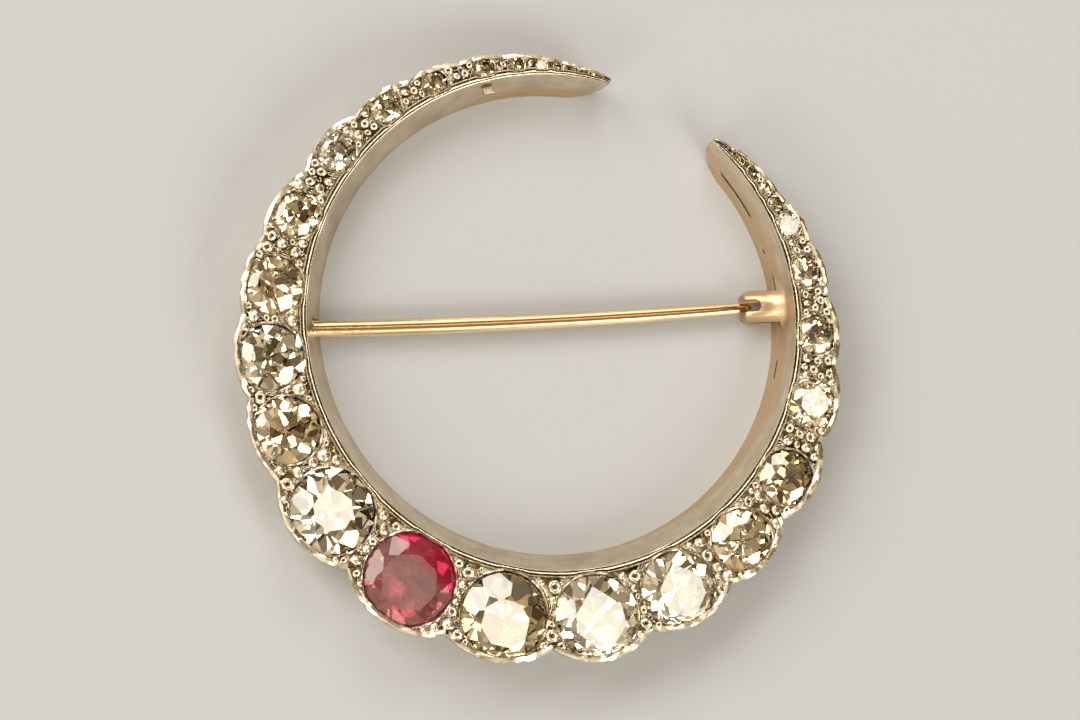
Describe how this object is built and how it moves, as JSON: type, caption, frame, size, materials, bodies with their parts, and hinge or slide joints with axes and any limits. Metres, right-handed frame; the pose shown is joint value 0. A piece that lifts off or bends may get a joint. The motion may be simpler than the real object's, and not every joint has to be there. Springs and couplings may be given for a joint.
{
  "type": "crescent brooch",
  "caption": "Crescent brooch: scalloped open-backed setting with graduated old-cut stones around a red centre stone, and a hinged pin across the opening.",
  "frame": {"origin": "middle of the brooch's outline seen from the front, on the plane of its back", "axes": "+Z out of the front, where the stones are; +Y towards the crescent's gap; -Y towards the red centre stone"},
  "size_m": [0.033, 0.032, 0.0032],
  "materials": {
    "silver": "silver over gold, polished edges, satin inner wall, darkened in the recesses",
    "gold": "warm polished gold",
    "diamond": "clear, faintly champagne, polished facets",
    "red_stone": "deep red, polished facets"
  },
  "bodies": {
    "setting": {"crescent_frame": "silver", "hinge_rivet": "gold", "red_stone": "red_stone", "left_diamond_01": "diamond", "left_diamond_02": "diamond", "left_diamond_03": "diamond", "left_diamond_04": "diamond", "left_diamond_05": "diamond", "left_diamond_06": "diamond", "left_diamond_07": "diamond", "left_diamond_08": "diamond", "left_diamond_09": "diamond", "left_diamond_10": "diamond", "left_diamond_11": "diamond", "left_chip_01": "diamond", "left_chip_02": "diamond", "left_chip_03": "diamond", "right_diamond_01": "diamond", "right_diamond_02": "diamond", "right_diamond_03": "diamond", "right_diamond_04": "diamond", "right_diamond_05": "diamond", "right_diamond_06": "diamond", "right_diamond_07": "diamond", "right_diamond_08": "diamond", "right_diamond_09": "diamond", "right_diamond_10": "diamond", "right_diamond_11": "diamond", "right_diamond_12": "diamond", "right_chip_01": "diamond", "right_chip_02": "diamond", "right_chip_03": "diamond"},
    "pin": {"pin_stem": "gold"}
  },
  "joints": [
    {"name": "pin_hinge", "type": "hinge", "parent": "setting", "child": "pin", "pos_m": [-0.01184, -0.00372, 0.00066], "axis": [-0.5147, 0.8573, 0], "range_deg": [0, 80]}
  ]
}
